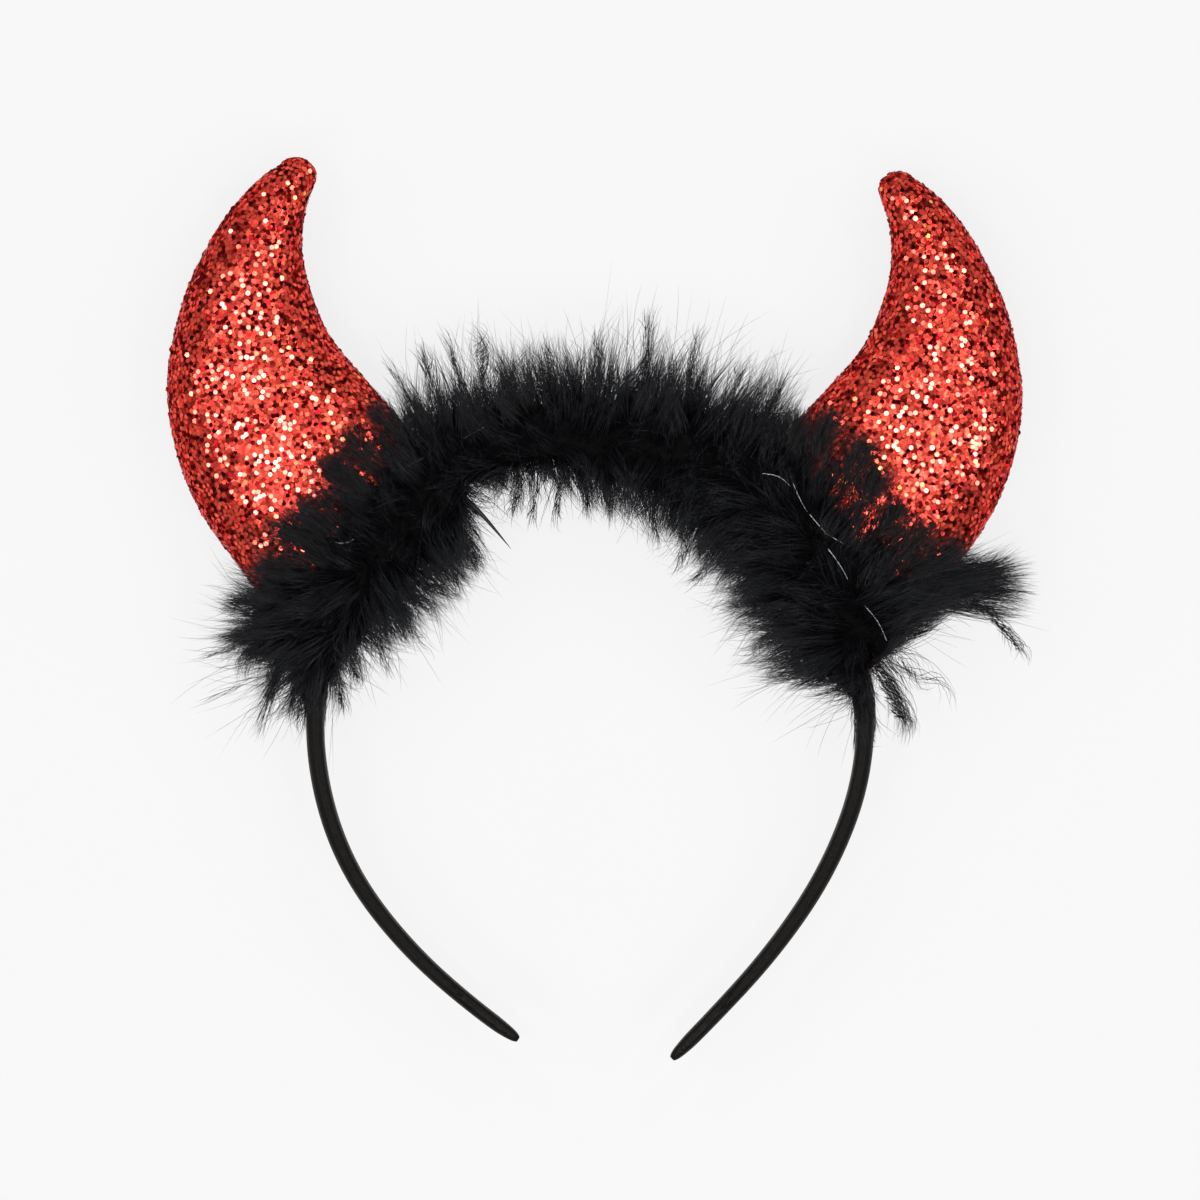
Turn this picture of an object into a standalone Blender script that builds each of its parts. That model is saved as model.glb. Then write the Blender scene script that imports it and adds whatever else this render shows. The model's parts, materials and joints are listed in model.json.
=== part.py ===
"""Devil horns headband: a satin band, two glitter horns and a marabou trim, in metres.

The band is drawn in its own plane: +X to the right of its front view, +Y towards the crown and +Z out
of its front, with the centre of the crown's arc at the origin. The finished set lies flat on its back,
balanced on the bellies of its two horns, so everything hangs on one empty that lifts it to that height.
"""

import math
import random
from collections import namedtuple

import bmesh
import bpy
from mathutils import Vector

MM = 0.001

# Band: an arc over the crown, then an arm on each side that curls inwards
ARCH_RADIUS = 64.7 * MM
BAND_THICKNESS = 4.3 * MM
TIP_THICKNESS = 3.4 * MM
BAND_WIDTH = 9.6 * MM
TIP_WIDTH = 6.4 * MM
TIP_TAPER = 8.0 * MM
TIP_END = 1.3 * MM
TIP_ROUND = 0.45
LEFT_ARM = 92.6 * MM
RIGHT_ARM = 93.8 * MM

# Horns: one moulded form and its mirror image, the right one a little smaller and seated lower
HORN_LEAN = 67.4 * MM
HORN_RISE = 65.5 * MM
HORN_WIDTH = 52.0 * MM
HORN_DEPTH = 31.0 * MM
HORN_TIP = 3.3 * MM
LEFT_SEAT = math.radians(144.0)
RIGHT_SEAT = math.radians(33.8)
RIGHT_HORN_SIZE = 0.985
RIGHT_HORN_LIFT = 0.8 * MM
RIGHT_HORN_LEAN = math.radians(1.2)

Horn = namedtuple("Horn", "seat side size lift lean")
LEFT_HORN = Horn(LEFT_SEAT, -1, 1.0, 0.0, 0.0)
RIGHT_HORN = Horn(RIGHT_SEAT, 1, RIGHT_HORN_SIZE, RIGHT_HORN_LIFT, RIGHT_HORN_LEAN)

# Marabou: a sleeve round the band, with every face of it drawn out into a lock
FLUFF_REACH = 40.0 * MM
FLUFF_START = math.radians(-4.5)
FLUFF_END = math.radians(176.5)
FLUFF_STEP = 7.2 * MM
SLEEVE_WALL = 1.4 * MM

# Clearance between neighbouring pieces
GAP = 0.3 * MM

# Band section, as shares of its width and thickness: flat inside, crowned outside
# across, out
BAND_SECTION = (
    (-0.33, -0.50),
    (0.33, -0.50),
    (0.45, -0.40),
    (0.50, -0.12),
    (0.49, 0.16),
    (0.42, 0.34),
    (0.23, 0.46),
    (0.00, 0.50),
    (-0.23, 0.46),
    (-0.42, 0.34),
    (-0.49, 0.16),
    (-0.50, -0.12),
    (-0.45, -0.40),
)

# Inward turn of each arm in degrees
# share of the arm's length, left arm, right arm
ARM_TURNS = (
    (0.00, 0.0, 0.0),
    (0.25, 17.4, 20.1),
    (0.50, 36.7, 33.9),
    (0.75, 48.5, 42.5),
    (1.00, 55.4, 45.5),
)

# Horn sections from the seat to the tip, as shares of the horn's sizes, and each section's turn in degrees
# lean, rise, width, depth, turn
HORN_SECTIONS = (
    (-0.02, -0.16, 1.00, 0.84, 0.0),
    (0.00, -0.05, 1.00, 0.88, 3.0),
    (0.085, 0.226, 0.99, 0.97, 13.0),
    (0.135, 0.40, 0.98, 1.00, 19.0),
    (0.199, 0.553, 0.92, 0.99, 26.0),
    (0.286, 0.698, 0.81, 0.95, 33.0),
    (0.377, 0.798, 0.715, 0.89, 36.0),
    (0.542, 0.922, 0.56, 0.77, 38.0),
    (0.711, 0.983, 0.423, 0.62, 43.0),
    (0.795, 0.998, 0.354, 0.53, 48.0),
    (0.874, 1.000, 0.280, 0.44, 55.0),
    (0.924, 0.995, 0.224, 0.36, 63.0),
    (0.954, 0.986, 0.171, 0.28, 74.0),
)

# Reach of the fluff from the band's centre line, as shares of FLUFF_REACH
# degrees round the arc, towards the head, away from it, to the front
FLUFF_REACHES = (
    (-4.5, 0.17, 0.20, 0.15),
    (2.0, 0.36, 0.38, 0.32),
    (9.0, 0.50, 0.66, 0.50),
    (16.0, 0.56, 1.10, 0.62),
    (24.0, 0.58, 0.88, 0.68),
    (38.0, 0.58, 0.88, 0.68),
    (50.0, 0.55, 0.78, 0.64),
    (62.0, 0.51, 0.66, 0.56),
    (76.0, 0.46, 0.60, 0.50),
    (92.0, 0.38, 0.54, 0.46),
    (108.0, 0.34, 0.58, 0.50),
    (122.0, 0.50, 0.72, 0.60),
    (134.0, 0.54, 0.80, 0.67),
    (150.0, 0.50, 0.84, 0.66),
    (162.0, 0.38, 0.70, 0.52),
    (170.0, 0.28, 0.62, 0.40),
    (176.5, 0.18, 0.42, 0.22),
)

# Facets along and round each piece
ARC_STEPS = 44
ARM_STEPS = 18
TIP_SHARES = (0.3, 0.6, 0.85)
HORN_SIDES = 24
HORN_RINGS = 26
HORN_CAP_RINGS = 3
HORN_CAP_END = math.radians(80.0)
CUTTER_SIDES = 120
SLEEVE_SIDES = 12

# Sleeve and locks: the sleeve's share of the reach, how square it is, and how near the floor it comes
SLEEVE_SHARE = 0.60
SLEEVE_POWER = 3.0
BACK_SHARE = 0.86
LOCK_TIP = 0.24
LOCK_SPREAD = (0.82, 1.06)
LOCK_LEAST = 0.7 * MM
LOCK_SEED = 11

# Waves in which the locks lean along the band
# lean, waves in a radian along the band, waves round the sleeve
LOCK_WAVES = (
    (0.34, 9.0, 2.0),
    (0.22, 17.0, -1.0),
)


def clear_scene():
    for obj in list(bpy.data.objects):
        bpy.data.objects.remove(obj)


def make_collection(name):
    collection = bpy.data.collections.new(name)
    bpy.context.scene.collection.children.link(collection)
    return collection


def make_material(name, colour, roughness, metallic):
    material = bpy.data.materials.new(name)
    material.use_nodes = True
    shader = material.node_tree.nodes["Principled BSDF"]
    shader.inputs["Base Color"].default_value = (*colour, 1.0)
    shader.inputs["Roughness"].default_value = roughness
    shader.inputs["Metallic"].default_value = metallic
    material.diffuse_color = (*colour, 1.0)
    return material


def mesh_object(name, bm, collection, smooth_angle=math.radians(40.0)):
    bmesh.ops.recalc_face_normals(bm, faces=bm.faces)
    mesh = bpy.data.meshes.new(name)
    bm.to_mesh(mesh)
    bm.free()
    mesh.shade_smooth()
    mesh.set_sharp_from_angle(angle=smooth_angle)
    obj = bpy.data.objects.new(name, mesh)
    collection.objects.link(obj)
    return obj


def make_cutter(obj):
    obj.hide_render = True
    obj.display_type = "WIRE"
    return obj


def subtract(obj, cutter, own_crossings=False):
    modifier = obj.modifiers.new("Less " + cutter.name, "BOOLEAN")
    modifier.operation = "DIFFERENCE"
    modifier.solver = "EXACT"
    modifier.use_self = own_crossings
    modifier.object = cutter


def apply_modifiers(obj):
    depsgraph = bpy.context.evaluated_depsgraph_get()
    mesh = bpy.data.meshes.new_from_object(obj.evaluated_get(depsgraph))
    obj.modifiers.clear()
    obj.data = mesh


def loft(rings):
    """Skin closed rings of equal count and cap both ends."""
    bm = bmesh.new()
    loops = [[bm.verts.new(point) for point in ring] for ring in rings]
    for low, high in zip(loops, loops[1:]):
        for i in range(len(low)):
            j = (i + 1) % len(low)
            bm.faces.new((low[i], low[j], high[j], high[i]))
    bm.faces.new(loops[0][::-1])
    bm.faces.new(loops[-1])
    return bm


def table_value(table, at, column):
    """Read one column of a table at a place between its rows, along a smooth curve."""
    last = len(table) - 1
    row = 0
    while row < last - 1 and table[row + 1][0] < at:
        row += 1
    before = table[max(row - 1, 0)]
    here = table[row]
    after = table[row + 1]
    beyond = table[min(row + 2, last)]
    share = min(max((at - here[0]) / (after[0] - here[0]), 0.0), 1.0)
    leave = (after[column] - before[column]) / (after[0] - before[0])
    arrive = (beyond[column] - here[column]) / (beyond[0] - here[0])
    span = after[0] - here[0]
    square = share * share
    cube = square * share
    return (
        (2 * cube - 3 * square + 1) * here[column]
        + (cube - 2 * square + share) * span * leave
        + (3 * square - 2 * cube) * after[column]
        + (cube - square) * span * arrive
    )


def straight_value(table, at, column):
    """Read one column of a table at a place between its rows, along straight lines."""
    for here, after in zip(table, table[1:]):
        if at <= after[0]:
            share = (at - here[0]) / (after[0] - here[0])
            return here[column] + share * (after[column] - here[column])
    return table[-1][column]


def arm_stations(length, column, side):
    """Points down one arm, with the direction that faces away from the head at each."""
    stations = []
    point = Vector((side * ARCH_RADIUS, 0.0, 0.0))
    step = length / ARM_STEPS
    for i in range(ARM_STEPS + 1):
        turn = math.radians(straight_value(ARM_TURNS, i / ARM_STEPS, column))
        outward = Vector((side * math.cos(turn), -math.sin(turn), 0.0))
        if i > 0:
            middle = math.radians(straight_value(ARM_TURNS, (i - 0.5) / ARM_STEPS, column))
            point = point + step * Vector((-side * math.sin(middle), -math.cos(middle), 0.0))
        stations.append((point.copy(), outward, length - i * step))
    return stations


def band_stations():
    """Points along the whole band from the left tip to the right one, with the way left to the tip."""
    left = arm_stations(LEFT_ARM, 1, -1)
    right = arm_stations(RIGHT_ARM, 2, 1)
    stations = left[::-1]
    for i in range(1, ARC_STEPS):
        angle = math.pi * (1.0 - i / ARC_STEPS)
        outward = Vector((math.cos(angle), math.sin(angle), 0.0))
        to_tip = min(LEFT_ARM + (math.pi - angle) * ARCH_RADIUS, RIGHT_ARM + angle * ARCH_RADIUS)
        stations.append((ARCH_RADIUS * outward, outward, to_tip))
    return stations + right


def band_section_size(to_tip):
    """Thickness and width of the band at a distance from its tip, with the tip drawn in round."""
    spread = min(to_tip / LEFT_ARM, 1.0)
    fullness = math.sin(spread * math.pi / 2)
    width = TIP_WIDTH + (BAND_WIDTH - TIP_WIDTH) * fullness
    thickness = TIP_THICKNESS + (BAND_THICKNESS - TIP_THICKNESS) * fullness
    closing = min(to_tip / TIP_TAPER, 1.0)
    rounding = math.sqrt(1.0 - (1.0 - closing) ** 2)
    thickness = TIP_END + (thickness - TIP_END) * rounding
    return thickness, width * (TIP_ROUND + (1.0 - TIP_ROUND) * rounding)


def tip_refined(stations):
    """Add stations inside both tapers, so that the tips come out round."""
    refined = []
    for here, after in zip(stations, stations[1:]):
        refined.append(here)
        if min(here[2], after[2]) < TIP_TAPER:
            leaving = here[2] < after[2]
            for share in sorted(1.0 - share if leaving else share for share in TIP_SHARES):
                refined.append(
                    (
                        here[0].lerp(after[0], share),
                        here[1].lerp(after[1], share).normalized(),
                        here[2] + share * (after[2] - here[2]),
                    )
                )
    refined.append(stations[-1])
    return refined


def band_loft(margin):
    """The band's form, grown by a margin on every side."""
    rings = []
    for point, outward, to_tip in tip_refined(band_stations()):
        thickness, width = band_section_size(to_tip)
        across = width + 2 * margin
        deep = thickness + 2 * margin
        rings.append(
            [point + Vector((0.0, 0.0, x * across)) + y * deep * outward for x, y in BAND_SECTION]
        )
    return loft(rings)


def horn_axes(horn):
    """The horn's seat on the band, the way it rises and the way it leans towards the crown."""
    outward = Vector((math.cos(horn.seat), math.sin(horn.seat), 0.0))
    crownward = horn.side * Vector((-math.sin(horn.seat), math.cos(horn.seat), 0.0))
    origin = (ARCH_RADIUS + BAND_THICKNESS / 2 + horn.lift) * outward
    rise = math.cos(horn.lean) * outward + math.sin(horn.lean) * crownward
    lean = math.cos(horn.lean) * crownward - math.sin(horn.lean) * outward
    return origin, rise, lean


def horn_ring(horn, section, margin, closing=0.0):
    """One oval ring of a horn, drawn in to a round end as closing goes from 0 to a right angle."""
    origin, rise, lean = horn_axes(horn)
    size = horn.size
    across, up, width, depth, turn = section
    turn = math.radians(turn)
    chord = math.cos(turn) * lean - math.sin(turn) * rise
    onward = math.sin(turn) * lean + math.cos(turn) * rise
    centre = origin + size * (across * HORN_LEAN * lean + up * HORN_RISE * rise)
    centre = centre + (size * HORN_TIP + margin) * math.sin(closing) * onward
    half_width = (size * width * HORN_WIDTH / 2 + margin) * math.cos(closing)
    half_depth = (size * depth * HORN_DEPTH / 2 + margin) * math.cos(closing)
    ring = []
    for i in range(HORN_SIDES):
        angle = 2 * math.pi * i / HORN_SIDES
        ring.append(
            centre
            + half_width * math.cos(angle) * chord
            + Vector((0.0, 0.0, half_depth * math.sin(angle)))
        )
    return ring


def horn_loft(horn, margin):
    """The horn's form, grown by a margin, with its root still reaching down through the band."""
    numbered = [(i, *row) for i, row in enumerate(HORN_SECTIONS)]
    rings = []
    for i in range(HORN_RINGS + 1):
        at = (len(numbered) - 1) * i / HORN_RINGS
        section = [table_value(numbered, at, column) for column in range(1, 6)]
        rings.append(horn_ring(horn, section, margin))
    for i in range(1, HORN_CAP_RINGS + 1):
        closing = HORN_CAP_END * i / HORN_CAP_RINGS
        rings.append(horn_ring(horn, HORN_SECTIONS[-1], margin, closing))
    return loft(rings)


def seat_cylinder(name, radius, collection):
    """A drum on the arc's axis that hollows what sits on the band."""
    bm = bmesh.new()
    bmesh.ops.create_cone(
        bm,
        cap_ends=True,
        segments=CUTTER_SIDES,
        radius1=radius,
        radius2=radius,
        depth=2 * HORN_DEPTH,
    )
    return make_cutter(mesh_object(name, bm, collection))


def build_horn(name, horn, parts, cutters, drums, material):
    """A horn seated on the band, and the cutter that keeps the fluff clear of it."""
    seat_drum, clearance_drum = drums
    solid = mesh_object(name, horn_loft(horn, 0.0), parts)
    subtract(solid, seat_drum)
    solid.data.materials.append(material)
    clearance = mesh_object(name + "_clearance", horn_loft(horn, GAP), cutters)
    subtract(clearance, clearance_drum)
    apply_modifiers(solid)
    apply_modifiers(clearance)
    return solid, make_cutter(clearance)


def resting_height(horns):
    """Height of the band's middle plane over the floor, when the set lies on its horns' bellies."""
    return -min(vertex.co.z for horn in horns for vertex in horn.data.vertices)


def fluff_reach(angle, around, height):
    """Reach of the fluff's locks from the band's centre line, in one direction round the band."""
    degrees = math.degrees(angle)
    inner = FLUFF_REACH * table_value(FLUFF_REACHES, degrees, 1)
    outer = FLUFF_REACH * table_value(FLUFF_REACHES, degrees, 2)
    front = FLUFF_REACH * table_value(FLUFF_REACHES, degrees, 3)
    back = min(BACK_SHARE * height, front)
    radial = outer if math.cos(around) > 0 else inner
    axial = front if math.sin(around) > 0 else back
    spread = (abs(math.cos(around)) / radial) ** SLEEVE_POWER
    spread += (abs(math.sin(around)) / axial) ** SLEEVE_POWER
    return spread ** (-1 / SLEEVE_POWER)


def sleeve_radius(angle, around, height):
    """Radius of the sleeve that carries the locks: never thinner than its wall round the band."""
    half_thick = BAND_THICKNESS / 2 + GAP + SLEEVE_WALL
    half_wide = BAND_WIDTH / 2 + GAP + SLEEVE_WALL
    spread = (abs(math.cos(around)) / half_thick) ** SLEEVE_POWER
    spread += (abs(math.sin(around)) / half_wide) ** SLEEVE_POWER
    least = spread ** (-1 / SLEEVE_POWER)
    return max(least, SLEEVE_SHARE * fluff_reach(angle, around, height))


def fluff_point(angle, around, radius):
    outward = Vector((math.cos(angle), math.sin(angle), 0.0))
    offset = math.cos(around) * outward + math.sin(around) * Vector((0.0, 0.0, 1.0))
    return ARCH_RADIUS * outward + radius * offset


def lock_lean(angle, around):
    """How far a lock leans along the band, as a slow wave that its neighbours share."""
    return sum(lean * math.sin(along * angle + turns * around) for lean, along, turns in LOCK_WAVES)


def build_fluff(height, collection, cutters, material):
    """The marabou: a sleeve round the band with a lock drawn out of each of its faces."""
    rng = random.Random(LOCK_SEED)
    steps = round((FLUFF_END - FLUFF_START) * ARCH_RADIUS / FLUFF_STEP)
    rings = []
    for i in range(steps + 1):
        angle = FLUFF_START + (FLUFF_END - FLUFF_START) * i / steps
        rings.append(
            [
                fluff_point(angle, around, sleeve_radius(angle, around, height))
                for around in (math.pi * (2 * k + i) / SLEEVE_SIDES for k in range(SLEEVE_SIDES))
            ]
        )
    bm = loft(rings)
    bmesh.ops.recalc_face_normals(bm, faces=bm.faces)
    roots = [face for face in bm.faces if len(face.verts) == 4]
    for face in roots:
        centre = face.calc_center_median()
        angle = math.atan2(centre.y, centre.x)
        outward = Vector((math.cos(angle), math.sin(angle), 0.0))
        along = Vector((-math.sin(angle), math.cos(angle), 0.0))
        offset = centre - ARCH_RADIUS * outward
        around = math.atan2(offset.z, offset.dot(outward))
        length = fluff_reach(angle, around, height) * rng.uniform(*LOCK_SPREAD) - offset.length
        length = max(length, LOCK_LEAST)
        tip = centre + length * (offset.normalized() + lock_lean(angle, around) * along)
        made = bmesh.ops.extrude_discrete_faces(bm, faces=[face])["faces"][0]
        for vertex in made.verts:
            vertex.co = tip + LOCK_TIP * (vertex.co - centre)
    fluff = mesh_object("feather_trim", bm, collection, math.radians(60.0))
    fluff.data.materials.append(material)
    for cutter in cutters:
        subtract(fluff, cutter, own_crossings=True)
        apply_modifiers(fluff)
    keep_largest_body(fluff)
    return fluff


def keep_largest_body(obj):
    """Drop the lock tips that the horns cut off from the sleeve."""
    bm = bmesh.new()
    bm.from_mesh(obj.data)
    waiting = set(bm.verts)
    bodies = []
    while waiting:
        seed = waiting.pop()
        body = {seed}
        front = [seed]
        while front:
            for edge in front.pop().link_edges:
                for vertex in edge.verts:
                    if vertex in waiting:
                        waiting.discard(vertex)
                        body.add(vertex)
                        front.append(vertex)
        bodies.append(body)
    largest = max(bodies, key=len)
    bmesh.ops.delete(bm, geom=[vertex for vertex in bm.verts if vertex not in largest])
    bm.to_mesh(obj.data)
    bm.free()


def lay_down(pieces):
    """Hang every piece on one empty that lays the set on the floor, centred on the origin."""
    points = [vertex.co for piece in pieces for vertex in piece.data.vertices]
    low = [min(point[axis] for point in points) for axis in range(3)]
    high = [max(point[axis] for point in points) for axis in range(3)]
    resting = bpy.data.objects.new("resting_place", None)
    bpy.context.scene.collection.objects.link(resting)
    resting.location = (-(low[0] + high[0]) / 2, -(low[1] + high[1]) / 2, -low[2])
    for piece in pieces:
        piece.parent = resting


def main():
    clear_scene()
    parts = make_collection("devil_horns_headband")
    cutters = make_collection("cutters")
    satin = make_material("black_satin", (0.012, 0.011, 0.011), 0.42, 0.0)
    glitter = make_material("red_glitter", (0.52, 0.03, 0.02), 0.3, 0.6)
    marabou = make_material("black_marabou", (0.006, 0.006, 0.008), 0.85, 0.0)

    band = mesh_object("headband", band_loft(0.0), parts)
    band.data.materials.append(satin)
    band_clearance = make_cutter(mesh_object("headband_clearance", band_loft(GAP), cutters))

    band_top = ARCH_RADIUS + BAND_THICKNESS / 2
    drums = (
        seat_cylinder("horn_seat", band_top + GAP, cutters),
        seat_cylinder("horn_root", band_top, cutters),
    )
    left_horn, left_clearance = build_horn("left_horn", LEFT_HORN, parts, cutters, drums, glitter)
    right_horn, right_clearance = build_horn("right_horn", RIGHT_HORN, parts, cutters, drums, glitter)
    height = resting_height((left_horn, right_horn))
    cuts = (band_clearance, left_clearance, right_clearance)
    fluff = build_fluff(height, parts, cuts, marabou)
    lay_down((band, left_horn, right_horn, fluff))


main()
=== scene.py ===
"""Looks of the devil horns headband: glitter horns, satin band and black marabou, in metres.

Laid out as a Blender add-on and run as a script: main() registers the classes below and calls
each operator in turn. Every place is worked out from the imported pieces:
the band lies in a level plane, its crown towards +Y and its front up.
"""

import itertools
import json
import math

import bpy
import numpy as np
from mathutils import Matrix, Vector
from mathutils.bvhtree import BVHTree
from mathutils.kdtree import KDTree

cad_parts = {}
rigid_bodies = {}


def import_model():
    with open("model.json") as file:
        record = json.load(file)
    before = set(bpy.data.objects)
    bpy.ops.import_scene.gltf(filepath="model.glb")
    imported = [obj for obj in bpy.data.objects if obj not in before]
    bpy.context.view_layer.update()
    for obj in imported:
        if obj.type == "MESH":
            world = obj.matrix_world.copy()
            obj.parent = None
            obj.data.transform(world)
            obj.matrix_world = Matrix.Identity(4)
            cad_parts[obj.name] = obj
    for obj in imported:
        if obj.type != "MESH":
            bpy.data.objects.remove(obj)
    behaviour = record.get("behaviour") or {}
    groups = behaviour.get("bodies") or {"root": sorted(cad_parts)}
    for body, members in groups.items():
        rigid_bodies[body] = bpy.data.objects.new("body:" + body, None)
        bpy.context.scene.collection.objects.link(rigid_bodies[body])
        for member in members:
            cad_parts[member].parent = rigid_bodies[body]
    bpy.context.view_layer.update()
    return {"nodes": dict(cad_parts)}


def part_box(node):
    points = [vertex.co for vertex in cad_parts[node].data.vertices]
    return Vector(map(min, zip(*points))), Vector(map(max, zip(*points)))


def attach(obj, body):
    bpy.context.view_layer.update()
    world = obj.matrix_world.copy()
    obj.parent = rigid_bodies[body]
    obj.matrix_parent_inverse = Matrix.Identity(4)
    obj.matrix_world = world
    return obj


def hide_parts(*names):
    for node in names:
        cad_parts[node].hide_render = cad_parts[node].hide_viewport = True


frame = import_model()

bl_info = {
    "name": "Devil Horns Headband",
    "version": (1, 0, 0),
    "blender": (4, 5, 0),
    "location": "3D View > Sidebar > Headband",
    "description": "Dresses a horned headband in glitter, satin and marabou",
    "category": "Add Mesh",
}

MM = 0.001
BODY = "root"
UP = np.array([0.0, 0.0, 1.0])

# Camera: straight above, over the middle of the photograph's square frame
FRAME_WIDTH = 282.0 * MM
LOOK_AT = (-0.7 * MM, 2.1 * MM)
FRAME_LEVEL = 15.0 * MM
CAMERA_HEIGHT = 1.3
SENSOR = 36.0

# Band: points of its section, its size over the crown, and how its skin is walked
SECTION_POINTS = 13
BAND_THICKNESS = 4.3 * MM
BAND_WIDTH = 9.6 * MM
TIP_REACH = 7.0 * MM
PATH_POINTS = 1200

# How far the down comes from the band's centre line in millimetres, and how it leans along the
# band: degrees round the arc, dense and loose reach towards the head, the same two away from it,
# inner and outer lean
FLUFF_OUTLINE = (
    (-9, 0, 1, 0, 1, -1.2, -1.3),
    (-3, 0, 4, 2, 9, -1.2, -1.26),
    (0, 1, 8, 1, 9, -1.2, -1.24),
    (3, 2, 16, 1, 9, -1.2, -1.22),
    (6, 7, 21, 1, 9, -1.16, -1.2),
    (9, 12, 24, 1, 9, -1.03, -0.85),
    (12, 19.5, 27, 3, 9, -0.9, -0.5),
    (15, 20.5, 29, 12, 20, -0.73, -0.46),
    (20, 22.5, 30, 36.5, 41.8, -0.45, -0.39),
    (26, 23, 30, 33, 37, -0.18, -0.18),
    (32, 24, 30.5, 27, 30, 0.03, 0.03),
    (38, 22.5, 29, 25.5, 28, 0.12, 0.12),
    (44, 18.5, 25.5, 26, 29, 0.14, 0.13),
    (50, 19, 24, 25, 28, 0.12, 0.11),
    (55, 19, 25, 22, 29, 0.11, 0.06),
    (60, 17, 24, 32.5, 36.5, 0.1, 0),
    (66, 16.7, 21.5, 30.5, 33.5, 0.05, 0),
    (72, 15.7, 22, 27, 32.5, 0, 0.07),
    (78, 14.7, 20, 30.5, 35.5, 0.05, 0.21),
    (84, 15, 18.5, 30, 36.5, 0.1, 0.4),
    (88, 13.5, 18.5, 28, 33.5, 0.18, 0.41),
    (92, 11.5, 16.5, 27, 29.5, 0.27, 0.43),
    (96, 5.5, 12.5, 26.5, 30, 0.35, 0.44),
    (100, 4, 13, 25, 27.5, 0.31, 0.45),
    (105, 4, 13.5, 28.5, 32, 0.26, 0.38),
    (109, 3, 12.5, 30, 35, 0.22, 0.31),
    (114, 2, 14, 30, 35, 0.17, 0.24),
    (118, 2, 15, 30, 35, 0.11, 0.18),
    (122, 15.5, 23.5, 24.5, 30, 0.04, 0.12),
    (127, 21, 25, 22, 26, -0.02, 0.04),
    (132, 22.2, 25.5, 22, 26, -0.05, 0),
    (138, 22.2, 26, 21, 24, 0.14, 0),
    (144, 21, 26.5, 20.5, 24, 0.4, 0),
    (150, 18.2, 25.5, 30.5, 31.5, 0.62, 0.15),
    (156, 16, 23.5, 29.5, 30.5, 0.7, 0.35),
    (161, 13.5, 20.5, 29.5, 32.5, 0.75, 0.47),
    (166, 8.5, 17, 28.5, 33, 0.8, 0.62),
    (170, 7, 13, 22.5, 30.5, 0.87, 0.74),
    (174, 2, 10, 14.5, 27.5, 0.94, 0.87),
    (178, 0, 8, 4, 21.5, 1.01, 1.02),
    (183, 0, 3, 0, 6, 1.1, 1.2),
)

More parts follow.
